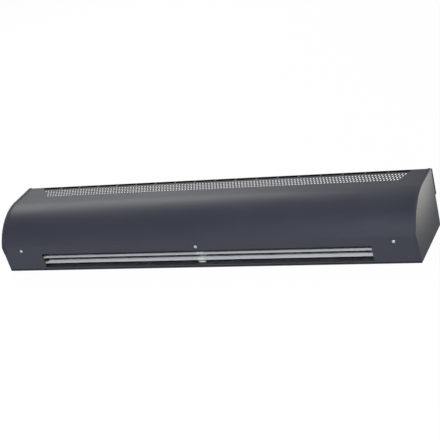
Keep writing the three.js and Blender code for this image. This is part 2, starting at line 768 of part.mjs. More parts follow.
function thermalCutout() {
  const start = -(bulkheadOutside + gap);
  const { radius, length, y, z } = cutout;
  return join(
    rodX(start - length, start, y, z, radius, 24),
    box(start - length - 6, start - length + 1, y - 5, y - 1.5, z - 0.5, z + 0.5),
    box(start - length - 6, start - length + 1, y + 1.5, y + 5, z - 0.5, z + 0.5),
  );
}

function earthTerminal() {
  const { radius, height, nutRadius, nutHeight, y, fromFoot } = earthStud;
  const x = leftBay - fromFoot;
  return join(
    rod([x, y, floorTop], [x, y, floorTop + height], radius, 14),
    rod([x, y, floorTop], [x, y, floorTop + nutHeight], nutRadius, 6),
    rod([x, y, floorTop + 6], [x, y, floorTop + 6 + nutHeight], nutRadius, 6),
  );
}

// rubber ring in the rear wall where the supply cable comes in
function cableGrommet() {
  const { bore, neck, flange, lip, groove } = grommet;
  const [x, y, z] = grommetAt();
  const inside = -sheet - gap - lip;
  const profile = [
    [inside, 0], [inside, flange - 3], [-sheet - gap, flange - 1], [-sheet - gap, neck],
    [groove - sheet - gap, neck], [gap, neck], [gap, flange], [gap + lip * 0.5, flange],
    [gap + lip, flange - 2], [gap + lip, 0],
  ];
  const body = toSolid(turned(profile, 28).translate(x, y, z));
  return cut(body, [rod([x, y + inside - 1, z], [x, y + gap + lip + 1, z], bore, 20)]);
}

// ---------- assembly ----------

const curtain = new THREE.Group();
const pieces = new THREE.Group();
pieces.position.y = -originY;
curtain.add(pieces);

function place(name, solid, finish) {
  const mesh = new THREE.Mesh(toGeometry(solid), finishes[finish]);
  mesh.name = name;
  pieces.add(mesh);
}

place('front_cover', frontCover(), 'casing');
place('base_tray', baseTray(), 'casing');
place('rear_intake_grille', rearIntakeGrille(), 'grille');
place('scroll_housing', scrollHousing(), 'zinc');
place('vortex_tongue', vortexTongue(), 'zinc');

for (const [name, side] of [['left', -1], ['right', 1]]) {
  place(`end_panel_${name}`, endPanel(side), 'casing');
  place(`bulkhead_${name}`, bulkhead(side), 'zinc');
  place(`cover_bracket_${name}`, coverBracket(side), 'zinc');
  for (const [level, z] of Object.entries(vaneHeights)) {
    place(`vane_cap_${level}_${name}`, vaneCap(z, side), 'paleResin');
  }
}

for (const [level, z] of Object.entries(vaneHeights)) {
  place(`outlet_vane_${level}`, vane(z), 'vane');
}
place('vane_comb', vaneComb(), 'clipResin');

place('impeller', impeller(), 'impeller');
place('drive_coupling', driveCoupling(), 'rubber');
place('motor_shaft', motorShaft(), 'steel');
place('idler_shaft', idlerShaft(), 'steel');
place('bearing_bush', bearingBush(), 'bronze');
place('bearing_holder', bearingHolder(), 'rubber');
place('motor_body', motorBody(), 'motor');
place('motor_bracket', motorBracket(), 'zinc');

const elements = heaterRodPlaces();
place('heater_element_front', heaterElement(elements[0]), 'element');
place('heater_element_rear', heaterElement(elements[1]), 'element');
place('heater_bracket_left', heaterBracket(-heaterBracketAt), 'zinc');
place('heater_bracket_right', heaterBracket(heaterBracketAt), 'zinc');

place('terminal_block', terminals(), 'paleResin');
place('motor_capacitor', motorCapacitor(), 'darkResin');
place('heater_relay', heaterRelay(), 'darkResin');
place('thermal_cutout', thermalCutout(), 'zinc');
place('earth_stud', earthTerminal(), 'bronze');
place('cable_grommet', cableGrommet(), 'rubber');

for (const [name, x] of Object.entries(coverScrews)) {
  place(`cover_screw_${name}`, panScrew(coverScrewSeat(x), stripOut), 'zinc');
}
grilleScrews.forEach((x, i) => {
  place(`grille_screw_${i + 1}`, panScrew(grilleScrewSeat(x), [0, 1, 0]), 'zinc');
});

export default curtain;
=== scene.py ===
import math
import bmesh
import bpy
from mathutils import Matrix, Vector


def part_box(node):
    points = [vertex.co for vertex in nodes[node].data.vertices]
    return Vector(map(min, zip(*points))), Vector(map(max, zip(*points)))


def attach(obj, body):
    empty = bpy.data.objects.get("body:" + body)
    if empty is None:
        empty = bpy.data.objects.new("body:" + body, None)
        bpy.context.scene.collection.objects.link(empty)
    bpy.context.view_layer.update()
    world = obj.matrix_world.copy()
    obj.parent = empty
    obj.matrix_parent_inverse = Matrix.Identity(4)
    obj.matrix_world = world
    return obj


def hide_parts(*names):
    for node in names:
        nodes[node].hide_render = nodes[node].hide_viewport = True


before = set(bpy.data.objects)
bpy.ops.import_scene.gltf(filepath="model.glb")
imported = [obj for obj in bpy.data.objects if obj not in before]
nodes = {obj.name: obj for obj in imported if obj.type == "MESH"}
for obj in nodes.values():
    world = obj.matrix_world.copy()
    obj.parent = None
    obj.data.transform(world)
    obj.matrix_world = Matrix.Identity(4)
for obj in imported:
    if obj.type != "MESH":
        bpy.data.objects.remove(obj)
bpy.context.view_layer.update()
mm = 0.001

# The casing lies on its flat mounting side: X runs along it, -Y is the outlet side, +Z is away from the
# mounting side. Lengths are in metres.


# camera

photoView = {
    "place": (1.3434, -2.5551, 1.3738),
    "yaw": 27.214,          # degrees, the camera stands to the right of the middle
    "pitch": 24.282,        # degrees, looking down
    "roll": -13.986,
    "focalPixels": 1321.5,  # in a frame 440 pixels wide
    "framePixels": 440,
    "sensor": 36.0,
}


def makeCamera(cfg):
    yaw, pitch, roll = (math.radians(cfg[key]) for key in ("yaw", "pitch", "roll"))
    right = Vector((math.cos(yaw), math.sin(yaw), 0))
    level = Vector((-math.sin(yaw), math.cos(yaw), 0))
    up = Vector((0, 0, 1))
    forward = level * math.cos(pitch) - up * math.sin(pitch)
    above = up * math.cos(pitch) + level * math.sin(pitch)
    turnedRight = right * math.cos(roll) + above * math.sin(roll)
    turnedUp = above * math.cos(roll) - right * math.sin(roll)
    data = bpy.data.cameras.new("camera")
    data.sensor_width = cfg["sensor"]
    data.lens = cfg["focalPixels"] * cfg["sensor"] / cfg["framePixels"]
    data.clip_end = 50
    camera = bpy.data.objects.new("camera", data)
    bpy.context.scene.collection.objects.link(camera)
    axes = Matrix((turnedRight, turnedUp, -forward)).transposed()
    camera.matrix_world = Matrix.Translation(cfg["place"]) @ axes.to_4x4()
    bpy.context.scene.camera = camera


makeCamera(photoView)
print("camera set")


# finishes

def newMaterial(name, colour, metallic, roughness):
    material = bpy.data.materials.new(name)
    material.use_nodes = True
    tree = material.node_tree
    shader = tree.nodes["Principled BSDF"]
    shader.inputs["Base Color"].default_value = (*colour, 1)
    shader.inputs["Metallic"].default_value = metallic
    shader.inputs["Roughness"].default_value = roughness
    return material, tree, shader


def objectCoords(tree, stretch=(1, 1, 1)):
    coords = tree.nodes.new("ShaderNodeTexCoord")
    mapping = tree.nodes.new("ShaderNodeMapping")
    mapping.inputs["Scale"].default_value = stretch
    tree.links.new(coords.outputs["Object"], mapping.inputs["Vector"])
    return mapping.outputs["Vector"]


def noise(tree, scale, detail=3, stretch=(1, 1, 1)):
    node = tree.nodes.new("ShaderNodeTexNoise")
    node.inputs["Scale"].default_value = scale
    node.inputs["Detail"].default_value = detail
    tree.links.new(objectCoords(tree, stretch), node.inputs["Vector"])
    return node.outputs["Fac"]


def spangle(tree, scale):
    node = tree.nodes.new("ShaderNodeTexVoronoi")
    node.inputs["Scale"].default_value = scale
    tree.links.new(objectCoords(tree), node.inputs["Vector"])
    grey = tree.nodes.new("ShaderNodeSeparateColor")
    tree.links.new(node.outputs["Color"], grey.inputs["Color"])
    return grey.outputs["Red"]


def ramp(tree, value, low, high, fromLow=0.3, fromHigh=0.7):
    node = tree.nodes.new("ShaderNodeMapRange")
    node.inputs["From Min"].default_value = fromLow
    node.inputs["From Max"].default_value = fromHigh
    node.inputs["To Min"].default_value = low
    node.inputs["To Max"].default_value = high
    tree.links.new(value, node.inputs["Value"])
    return node.outputs["Result"]


def tint(tree, shader, value, colour, spread):
    mix = tree.nodes.new("ShaderNodeMix")
    mix.data_type = "RGBA"
    mix.inputs["A"].default_value = (*[c * (1 - spread) for c in colour], 1)
    mix.inputs["B"].default_value = (*[c * (1 + spread) for c in colour], 1)
    tree.links.new(ramp(tree, value, 0, 1), mix.inputs["Factor"])
    tree.links.new(mix.outputs["Result"], shader.inputs["Base Color"])


def roughen(tree, shader, value, low, high):
    tree.links.new(ramp(tree, value, low, high), shader.inputs["Roughness"])


def bump(tree, shader, value, distance, strength=1.0):
    node = tree.nodes.new("ShaderNodeBump")
    node.inputs["Distance"].default_value = distance
    node.inputs["Strength"].default_value = strength
    tree.links.new(value, node.inputs["Height"])
    tree.links.new(node.outputs["Normal"], shader.inputs["Normal"])


# satin powder coat: slight clouding, fine orange peel
def powderCoat(name, colour, roughness, peel, specular=0.25):
    material, tree, shader = newMaterial(name, colour, metallic=0, roughness=roughness)
    shader.inputs["Specular IOR Level"].default_value = specular
    cloud = noise(tree, scale=7, detail=4)
    tint(tree, shader, cloud, colour, spread=0.05)
    roughen(tree, shader, cloud, roughness - 0.03, roughness + 0.03)
    bump(tree, shader, noise(tree, scale=900, detail=2), peel, strength=0.6)
    return material


# hot-dip zinc: flat crystals, each with its own shine; its tone is held far below bright zinc, painted
# shade that keeps the duct's inside dark
def zincWithPaintedShade():
    colour = (0.2, 0.205, 0.21)
    material, tree, shader = newMaterial("zincWithPaintedShade", colour, metallic=1, roughness=0.45)
    crystals = spangle(tree, scale=240)
    tint(tree, shader, crystals, colour, spread=0.1)
    roughen(tree, shader, crystals, low=0.43, high=0.48)
    return material


# bright zinc plate on the screws
def zincPlate():
    colour = (0.5, 0.51, 0.53)
    material, tree, shader = newMaterial("zincPlate", colour, metallic=0.85, roughness=0.3)
    marks = noise(tree, scale=600)
    tint(tree, shader, marks, colour, spread=0.06)
    roughen(tree, shader, marks, low=0.26, high=0.4)
    return material


# extruded, with a matt silver lacquer: fine lines along X
def vaneAluminium():
    colour = (0.52, 0.54, 0.56)
    material, tree, shader = newMaterial("vaneAluminium", colour, metallic=0, roughness=0.45)
    shader.inputs["Specular IOR Level"].default_value = 0.3
    lines = noise(tree, scale=1400, detail=2, stretch=(0.002, 1, 1))
    tint(tree, shader, lines, colour, spread=0.03)
    roughen(tree, shader, lines, low=0.4, high=0.46)
    bump(tree, shader, lines, distance=0.005 * mm, strength=0.4)
    return material


# ground steel, with turning marks round X
def shaftSteel():
    colour = (0.42, 0.43, 0.44)
    material, tree, shader = newMaterial("shaftSteel", colour, metallic=1, roughness=0.28)
    turning = noise(tree, scale=1500, detail=2, stretch=(1, 0.05, 0.05))
    tint(tree, shader, turning, colour, spread=0.08)
    roughen(tree, shader, turning, low=0.22, high=0.36)
    return material


# rolled strip, with its lines along X
def impellerAluminium():
    colour = (0.52, 0.53, 0.55)
    material, tree, shader = newMaterial("impellerAluminium", colour, metallic=0.9, roughness=0.4)
    rolling = noise(tree, scale=400, stretch=(0.02, 1, 1))
    tint(tree, shader, rolling, colour, spread=0.06)
    roughen(tree, shader, rolling, low=0.34, high=0.48)
    return material


def motorPaint():
    colour = (0.035, 0.037, 0.04)
    material, tree, shader = newMaterial("motorPaint", colour, metallic=0, roughness=0.5)
    cloud = noise(tree, scale=60, detail=4)
    tint(tree, shader, cloud, colour, spread=0.12)
    roughen(tree, shader, cloud, low=0.44, high=0.56)
    bump(tree, shader, noise(tree, scale=1400, detail=2), distance=0.02 * mm, strength=0.5)
    return material


def blackRubber():
    colour = (0.014, 0.014, 0.015)
    material, tree, shader = newMaterial("blackRubber", colour, metallic=0, roughness=0.75)
    dust = noise(tree, scale=90, detail=5)
    tint(tree, shader, dust, colour, spread=0.25)
    roughen(tree, shader, dust, low=0.66, high=0.84)
    bump(tree, shader, noise(tree, scale=2500, detail=2), distance=0.02 * mm, strength=0.5)
    return material


def bronze():
    colour = (0.42, 0.25, 0.1)
    material, tree, shader = newMaterial("bronze", colour, metallic=0.95, roughness=0.42)
    pores = noise(tree, scale=1800)
    tint(tree, shader, pores, colour, spread=0.12)
    roughen(tree, shader, pores, low=0.36, high=0.52)
    return material


def mouldedResin(name, colour, roughness):
    material, tree, shader = newMaterial(name, colour, metallic=0, roughness=roughness)
    flow = noise(tree, scale=70)
    tint(tree, shader, flow, colour, spread=0.04)
    roughen(tree, shader, flow, roughness - 0.05, roughness + 0.05)
    bump(tree, shader, noise(tree, scale=1600, detail=2), distance=0.01 * mm, strength=0.5)
    return material


# heater tube: steel gone brown and grey with heat
def elementSteel():
    colour = (0.12, 0.105, 0.09)
    material, tree, shader = newMaterial("elementSteel", colour, metallic=0.75, roughness=0.5)
    bands = noise(tree, scale=16, detail=4, stretch=(1, 0.3, 0.3))
    tint(tree, shader, bands, colour, spread=0.35)
    roughen(tree, shader, bands, low=0.42, high=0.6)
    return material


finishes = {
    "casing_paint": powderCoat("casingPaint", (0.0272, 0.0302, 0.0425), roughness=0.42, peel=0.02 * mm),
    "grille_paint": powderCoat(
        "grillePaint", (0.0035, 0.0035, 0.0037), roughness=0.7, peel=0.03 * mm, specular=0.05),
    "zinc_sheet": zincWithPaintedShade(),
    "vane_aluminium": vaneAluminium(),
    "shaft_steel": shaftSteel(),
    "impeller_aluminium": impellerAluminium(),
    "motor_paint": motorPaint(),
    "black_rubber": blackRubber(),
    "bronze": bronze(),
    "pale_resin": mouldedResin("paleResin", (0.27, 0.3, 0.21), roughness=0.5),
    "clip_resin": mouldedResin("clipResin", (0.56, 0.59, 0.58), roughness=0.42),
    "element_steel": elementSteel(),
    "dark_resin": mouldedResin("darkResin", (0.022, 0.024, 0.026), roughness=0.45),
}
screwZinc = zincPlate()
# on the end panels the coat is coarser and duller than on the cover
panelPaint = powderCoat("panelPaint", (0.026, 0.029, 0.041), roughness=0.62, peel=0.05 * mm)
# near-black finish on the cover's inner faces: painted shade that darkens the inside seen through the
# holes, the slots and past the rear edge
coverInsideShade = powderCoat(
    "coverInsideShade", (0.008, 0.008, 0.009), roughness=0.7, peel=0.02 * mm, specular=0.1)
print("finishes made")


# working with meshes

near = 0.1 * mm     # how close an edge or face must lie to the place where it is looked for


def facesAt(bm, test):
    return [face for face in bm.faces if test(face)]


def splitFaces(bm, faces, place, across):
    geometry = set(faces)
    for face in faces:
        geometry.update(face.edges)
        geometry.update(face.verts)
    bmesh.ops.bisect_plane(bm, geom=list(geometry), dist=1e-6, plane_co=place, plane_no=across)


# moves the corners of a face on to a circle, or a round-ended slot that is longer by the stretch
def roundFace(face, across, radius, stretch):
    upward = face.normal.cross(across)
    middle = face.calc_center_bounds()
    corners = [loop.vert for loop in face.loops]
    angles = [math.atan2((v.co - middle).dot(upward), (v.co - middle).dot(across)) for v in corners]
    first = min(range(len(corners)), key=lambda i: abs(angles[i] - math.pi / 2))
    for i, vert in enumerate(corners):
        angle = math.pi / 2 + 2 * math.pi * (i - first + 0.5) / len(corners)
        rise = radius * math.sin(angle) + math.copysign(stretch / 2, math.sin(angle))
        vert.co = middle + across * math.cos(angle) * radius + upward * rise


# cuts a round or slotted hole in each of the given flat faces
def punchFaces(bm, faces, across, radius, margin, cuts, stretch=0.0):
    bmesh.ops.inset_individual(bm, faces=faces, thickness=margin, use_even_offset=True)
    edges = list({edge for face in faces for edge in face.edges})
    bmesh.ops.subdivide_edges(bm, edges=edges, cuts=cuts)
    for face in faces:
        roundFace(face, across, radius, stretch)
    bmesh.ops.delete(bm, geom=faces, context="FACES_ONLY")


def markSharp(bm, degrees=38):
    for face in bm.faces:
        face.smooth = True
    for edge in bm.edges:
        edge.smooth = edge.calc_face_angle(0) < math.radians(degrees)


def makePiece(name, bm, slotName, body, replaced, material=None):
    markSharp(bm)
    mesh = bpy.data.meshes.new(name)
    bm.to_mesh(mesh)
    bm.free()
    mesh.materials.append(material or finishes[slotName])
    piece = bpy.data.objects.new(name, mesh)
    bpy.context.scene.collection.objects.link(piece)
    normals = piece.modifiers.new("faceNormals", "WEIGHTED_NORMAL")
    normals.keep_sharp = True
    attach(piece, body)
    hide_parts(*replaced)
    return piece


def camel(node):
    first, *rest = node.split("_")
    return first + "".join(word.title() for word in rest)


# a merged copy of a CAD node's mesh, to round its edges on
def nodeCopy(node):
    bm = bmesh.new()
    bm.from_mesh(nodes[node].data)
    bmesh.ops.remove_doubles(bm, verts=bm.verts[:], dist=0.005 * mm)
    bmesh.ops.dissolve_limit(bm, angle_limit=math.radians(0.5), verts=bm.verts[:], edges=bm.edges[:])
    return bm


def roundEdges(bm, width, segments, test=None, sharpness=35):
    picked = [
        edge for edge in bm.edges
        if edge.calc_face_angle(0) > math.radians(sharpness) and (test is None or test(edge))
    ]
    bmesh.ops.bevel(
        bm, geom=picked, offset=width, offset_type="OFFSET", segments=segments, profile=0.5,
        affect="EDGES", clamp_overlap=True, material=-1)


def runsAlong(edge, axis):
    run = edge.verts[1].co - edge.verts[0].co
    return abs(run[axis]) > 0.999 * run.length


# the cover's section

trayLow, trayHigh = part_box("base_tray")
coverLow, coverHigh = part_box("front_cover")
creasePoint = min((v.co for v in nodes["front_cover"].data.vertices), key=lambda co: co.y).copy()


# front face of the lower strip at a height
def stripY(z):
    share = (z - coverLow.z) / (creasePoint.z - coverLow.z)
    return trayLow.y + (creasePoint.y - trayLow.y) * share


stripRun = Vector((0, creasePoint.y - trayLow.y, creasePoint.z - coverLow.z)).normalized()
stripOut = Vector((0, -stripRun.z, stripRun.y))
alongX = Vector((1, 0, 0))

cover = {
    "sheet": 1.2 * mm,
    "bulgeRadius": 117 * mm,
    "bulgeSteps": 36,
    "hemDepth": 6 * mm,
    "rearFold": 6 * mm,
    "foldRadius": 1.6 * mm,     # at the hem and the rear edge
    "creaseReach": 0.9 * mm,    # how far the crease's round goes each way
    "foldSteps": 4,
    "slotHalf": 427 * mm,
    "slotLow": 8.7 * mm,
    "slotHigh": 48.4 * mm,
    "screwHeight": 59.6 * mm,
    "screwHole": 2.2 * mm,
    "screwRoom": 5 * mm,        # half of the square that each hole is cut in
    "screwMargin": 1 * mm,      # left of that square round the hole
    "insideTilt": 0.3,          # faces that point inwards more than this get the near-black inside finish, painted shade
}

intake = {
    "pitch": 54.35 * mm,
    "count": 18,
    "bridge": 2.7 * mm,
    "slotInset": 1.8 * mm,      # from the rear edge of the cover
    "slotWidth": 10.2 * mm,
    "slotCorner": 2 * mm,
    "columns": 122,
    "endMargin": 4 * mm,        # first slot's end to the first cell
    # sheet left plain at the ends of the band, at its rear edge and at its front
    "leftPlain": (8 * mm, 30 * mm),
    "rightPlain": (-2 * mm, 15 * mm),
    "holeRows": 4,
    "firstRow": 21 * mm,        # middle of the first row, from the rear edge
    "rowSpacing": 9.2 * mm,
    "holeWidth": 4.4 * mm,
    "holeLength": 8 * mm,
    "holeMargin": 0.4 * mm,
}
intakeHalf = intake["count"] * intake["pitch"] / 2


# the section drawn from hem to rear fold, then drawn out along X
def bendCover(cfg):
    bm = bmesh.new()
    x = coverLow.x
    centreZ = coverHigh.z - cfg["bulgeRadius"]
    reach = math.sqrt(cfg["bulgeRadius"] ** 2 - (creasePoint.z - centreZ) ** 2)
    centreY = creasePoint.y + reach
    sweep = math.pi / 2 - math.atan2(creasePoint.z - centreZ, reach)
    hemBack = bm.verts.new((x, stripY(coverLow.z) + cfg["hemDepth"], coverLow.z))
    hemFront = bm.verts.new((x, stripY(coverLow.z), coverLow.z))
    crease = bm.verts.new((x, creasePoint.y, creasePoint.z))
    rearTop = bm.verts.new((x, coverHigh.y, coverHigh.z))
    rearEnd = bm.verts.new((x, coverHigh.y, coverHigh.z - cfg["rearFold"]))
    bm.edges.new((hemBack, hemFront))
    bm.edges.new((hemFront, crease))
    bmesh.ops.spin(
        bm, geom=[crease], cent=(x, centreY, centreZ), axis=(1, 0, 0), angle=-sweep,
        steps=cfg["bulgeSteps"], use_merge=False)
    flatStart = max((v for v in bm.verts if v not in (rearTop, rearEnd)), key=lambda v: v.co.z)
    bm.edges.new((flatStart, rearTop))
    bm.edges.new((rearTop, rearEnd))
    for corners, width in (([hemFront, rearTop], cfg["foldRadius"]), ([crease], cfg["creaseReach"])):
        bmesh.ops.bevel(
            bm, geom=corners, offset=width, offset_type="OFFSET", segments=cfg["foldSteps"], profile=0.5,
            affect="VERTICES", material=-1)
    drawn = bmesh.ops.extrude_edge_only(bm, edges=bm.edges[:])
    ends = [part for part in drawn["geom"] if isinstance(part, bmesh.types.BMVert)]
    bmesh.ops.translate(bm, verts=ends, vec=(coverHigh.x - coverLow.x, 0, 0))
    bmesh.ops.recalc_face_normals(bm, faces=bm.faces[:])
    top = max(bm.faces, key=lambda face: face.calc_center_median().z)
    if top.normal.z < 0:
        bmesh.ops.reverse_faces(bm, faces=bm.faces[:])
    return bm


def isFlatTop(face):
    return face.normal.z > 0.9999 and face.calc_center_median().z > coverHigh.z - near


def isStrip(face):
    return face.normal.dot(stripOut) > 0.9999


def slotStarts(cfg):
    return [(i - cfg["count"] / 2) * cfg["pitch"] + cfg["bridge"] / 2 for i in range(cfg["count"])]


# the row of long slots beside the rear edge
def cutIntakeSlots(bm, cfg):
    rear = coverHigh.y - cfg["slotInset"]
    front = rear - cfg["slotWidth"]
    for y in (rear, front):
        splitFaces(bm, facesAt(bm, isFlatTop), (0, y, 0), (0, 1, 0))

    def inRow(face):
        return isFlatTop(face) and front < face.calc_center_bounds().y < rear

    length = cfg["pitch"] - cfg["bridge"]
    starts = slotStarts(cfg)
    for start in starts:
        for x in (start, start + length):
            splitFaces(bm, facesAt(bm, inRow), (x, 0, 0), (1, 0, 0))

    def isOpen(face):
        middle = face.calc_center_bounds().x
        return inRow(face) and any(start < middle < start + length for start in starts)

    bmesh.ops.delete(bm, geom=facesAt(bm, isOpen), context="FACES")


# staggered rows of small slotted holes
def punchIntake(bm, cfg):
    columns = 2 * cfg["columns"]
    reach = intakeHalf - cfg["endMargin"]
    step = 2 * reach / columns
    bandRear = coverHigh.y - cfg["firstRow"] + cfg["rowSpacing"] / 2
    bandFront = bandRear - cfg["holeRows"] * cfg["rowSpacing"]
    for y in (bandRear, bandFront):
        splitFaces(bm, facesAt(bm, isFlatTop), (0, y, 0), (0, 1, 0))

    def inStripe(face):
        return isFlatTop(face) and bandFront < face.calc_center_bounds().y < bandRear

    def inBand(face):
        return inStripe(face) and abs(face.calc_center_bounds().x) < reach

    for x in (-reach, reach):
        splitFaces(bm, facesAt(bm, inStripe), (x, 0, 0), (1, 0, 0))
    for row in range(1, cfg["holeRows"]):
        splitFaces(bm, facesAt(bm, inBand), (0, bandRear - row * cfg["rowSpacing"], 0), (0, 1, 0))
    long = {edge for face in facesAt(bm, inBand) for edge in face.edges if runsAlong(edge, 0)}
    bmesh.ops.subdivide_edges(bm, edges=list(long), cuts=columns - 1, use_grid_fill=True)

    # every second upright edge goes, in turn from row to row, so that the cells lie as bricks do
    spare = []
    for edge in {edge for face in facesAt(bm, inBand) for edge in face.edges}:
        middle = (edge.verts[0].co + edge.verts[1].co) / 2
        column = round((middle.x + reach) / step)
        row = math.floor((bandRear - middle.y) / cfg["rowSpacing"])
        if runsAlong(edge, 1) and 0 < column < columns and (column + row) % 2:
            spare.append(edge)
    bmesh.ops.dissolve_edges(bm, edges=spare, use_verts=False)
    wholeCell = 1.5 * step * cfg["rowSpacing"]      # the half cells at the ends are smaller

    def isPunched(face):
        middle = face.calc_center_bounds()
        share = (bandRear - middle.y) / (bandRear - bandFront)
        plain = [rear + (front - rear) * share for rear, front in (cfg["leftPlain"], cfg["rightPlain"])]
        lit = plain[0] - reach < middle.x < reach - plain[1]
        return lit and inBand(face) and face.calc_area() > wholeCell

    cells = facesAt(bm, isPunched)
    punchFaces(
        bm, cells, alongX, cfg["holeWidth"] / 2, cfg["holeMargin"], cuts=1,
        stretch=cfg["holeLength"] - cfg["holeWidth"])
    print("intake holes", len(cells))


# the outlet slot in the lower strip
def cutOutlet(bm, cfg):
    for z in (cfg["slotLow"], cfg["slotHigh"]):
        splitFaces(bm, facesAt(bm, isStrip), (0, 0, z), (0, 0, 1))

    def inSlotRow(face):
        return isStrip(face) and cfg["slotLow"] < face.calc_center_bounds().z < cfg["slotHigh"]

    for x in (-cfg["slotHalf"], cfg["slotHalf"]):
        splitFaces(bm, facesAt(bm, inSlotRow), (x, 0, 0), (1, 0, 0))
    row = facesAt(bm, inSlotRow)
    opening = [face for face in row if abs(face.calc_center_bounds().x) < cfg["slotHalf"]]
    bmesh.ops.delete(bm, geom=opening, context="FACES")


def cutScrewHoles(bm, cfg, places):
    low = cfg["screwHeight"] - cfg["screwRoom"]
    high = cfg["screwHeight"] + cfg["screwRoom"]
    for z in (low, high):
        splitFaces(bm, facesAt(bm, isStrip), (0, 0, z), (0, 0, 1))

    def inScrewRow(face):
        return isStrip(face) and low < face.calc_center_bounds().z < high

    for place in places:
        for x in (place - cfg["screwRoom"], place + cfg["screwRoom"]):
            splitFaces(bm, facesAt(bm, inScrewRow), (x, 0, 0), (1, 0, 0))
    squares = [
        face for face in facesAt(bm, inScrewRow)
        if any(abs(face.calc_center_bounds().x - place) < near for place in places)
    ]
    punchFaces(bm, squares, alongX, cfg["screwHole"], cfg["screwMargin"], cuts=2)


def middleOf(node):
    low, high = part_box(node)
    return (low + high) / 2


coverScrews = ["cover_screw_left", "cover_screw_centre", "cover_screw_right"]
grilleScrews = [f"grille_screw_{i}" for i in range(1, 5)]


def makeCover(cfg):
    bm = bendCover(cfg)
    cutOutlet(bm, cfg)
    cutScrewHoles(bm, cfg, [middleOf(node).x for node in coverScrews])
    cutIntakeSlots(bm, intake)
    punchIntake(bm, intake)
    bmesh.ops.solidify(bm, geom=bm.faces[:], thickness=cfg["sheet"])

    slotFront = coverHigh.y - intake["slotInset"] - intake["slotWidth"]

    def isSlotCorner(edge):
        return runsAlong(edge, 2) and abs(edge.verts[0].co.y - slotFront) < near

    roundEdges(bm, intake["slotCorner"], 3, isSlotCorner)
    # inner faces take the near-black finish, painted shade for the inside of the casing
    for face in bm.faces:
        place = face.calc_center_median()
        inward = Vector((0, -place.y, coverHigh.z / 2 - place.z)).normalized()
        face.material_index = int(face.normal.dot(inward) > cfg["insideTilt"])
    piece = makePiece("frontCover", bm, "casing_paint", "casing", ["front_cover"])
    piece.data.materials.append(coverInsideShade)


makeCover(cover)
print("cover made")


# end panels, tray and rear grille: the CAD shapes with their edges and folds rounded

softened = {
    "panelRoll": 0.8 * mm,      # round of the end panels' outer edge
    "trayFold": 1.8 * mm,
    "grilleFold": 1.4 * mm,
    "windowCorner": 3 * mm,
    "windowEnds": 10 * mm,      # the window starts further in than this
    "windowFoot": 20 * mm,      # and higher than this
}


def makeEndPanel(side, cfg):
    node = f"end_panel_{side}"
    bm = nodeCopy(node)
    outside = max(abs(v.co.x) for v in bm.verts) - near

    def isOuter(edge):
        return all(abs(v.co.x) > outside for v in edge.verts)

    roundEdges(bm, cfg["panelRoll"], 4, isOuter)
    makePiece(camel(node), bm, "casing_paint", "casing", [node], panelPaint)


def makeTray(cfg):
    bm = nodeCopy("base_tray")

    def isRearFold(edge):
        atRear = all(v.co.y > trayHigh.y - near and v.co.z < near for v in edge.verts)
        return atRear and runsAlong(edge, 0)

    roundEdges(bm, cfg["trayFold"], 4, isRearFold)
    makePiece("baseTray", bm, "casing_paint", "casing", ["base_tray"])


def makeGrille(cfg):
    low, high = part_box("rear_intake_grille")
    bm = nodeCopy("rear_intake_grille")

    def isWindowCorner(edge):
        place = edge.verts[0].co
        inside = abs(place.x) < high.x - cfg["windowEnds"] and place.z > low.z + cfg["windowFoot"]
        return runsAlong(edge, 1) and inside

    def isFrontFold(edge):
        return all(v.co.y < low.y + near for v in edge.verts) and (
            all(abs(v.co.x) > high.x - near for v in edge.verts)
            or all(v.co.z > high.z - near for v in edge.verts)
            or all(v.co.z < low.z + near for v in edge.verts))

    roundEdges(bm, cfg["windowCorner"], 4, isWindowCorner, sharpness=80)
    roundEdges(bm, cfg["grilleFold"], 4, isFrontFold)
    makePiece("rearGrille", bm, "grille_paint", "casing", ["rear_intake_grille"])


for side in ("left", "right"):
    makeEndPanel(side, softened)
makeTray(softened)
makeGrille(softened)
print("casing sheets softened")


# outlet vanes, their end caps and the comb that holds them

vanes = {
    "thinned": 0.7 * mm,        # how far the underside is raised
    "nose": 0.04 * mm,          # less than half of what that leaves at the nose
    "capEdge": 0.6 * mm,
    "combEdge": 0.3 * mm,
}


def makeVanes(cfg):
    for level in ("upper", "lower"):
        node = f"outlet_vane_{level}"
        bm = nodeCopy(node)
        middle = middleOf(node).z
        for vert in bm.verts:
            if vert.co.z < middle - near:
                vert.co.z += cfg["thinned"]
        roundEdges(bm, cfg["nose"], 4, lambda edge: runsAlong(edge, 0))
        makePiece(camel(node), bm, "vane_aluminium", "casing", [node])
        for side in ("left", "right"):
            node = f"vane_cap_{level}_{side}"
            bm = nodeCopy(node)
            roundEdges(bm, cfg["capEdge"], 3)
            makePiece(camel(node), bm, "pale_resin", "casing", [node])
    bm = nodeCopy("vane_comb")
    roundEdges(bm, cfg["combEdge"], 2)
    makePiece("vaneComb", bm, "clip_resin", "casing", ["vane_comb"])


makeVanes(vanes)
print("vanes made")


# pan-head screws with a cross recess and a thread

screw = {
    "headRadius": 4 * mm,
    "headHeight": 2.4 * mm,
    "lift": 0.3 * mm,           # seat to the underside of the head
    "faceRadius": 2.6 * mm,     # where the dome starts
    "dome": [(0.8, 0.1), (0.93, 0.27), (1, 0.52)],      # shares of the radius and of the height down
    "underEdge": 0.15 * mm,
    "recessArm": 1.9 * mm,
    "recessWidth": 0.75 * mm,
    "recessWaist": 0.6,         # share of the arm's length at which its sides are split
    "recessDepth": 1.4 * mm,
    "recessTaper": 0.6,         # share of its size left at the bottom
    "shankRadius": 1.9 * mm,
    "threadDepth": 0.3 * mm,
    "threadPitch": 0.7 * mm,
    "rootShare": 0.45,          # share of each pitch down to the root of the thread
    "plainEnd": 1.2 * mm,       # shank without thread
    "tip": 0.6 * mm,
    "tipTaper": 0.6,
    "shankLength": 7 * mm,
}


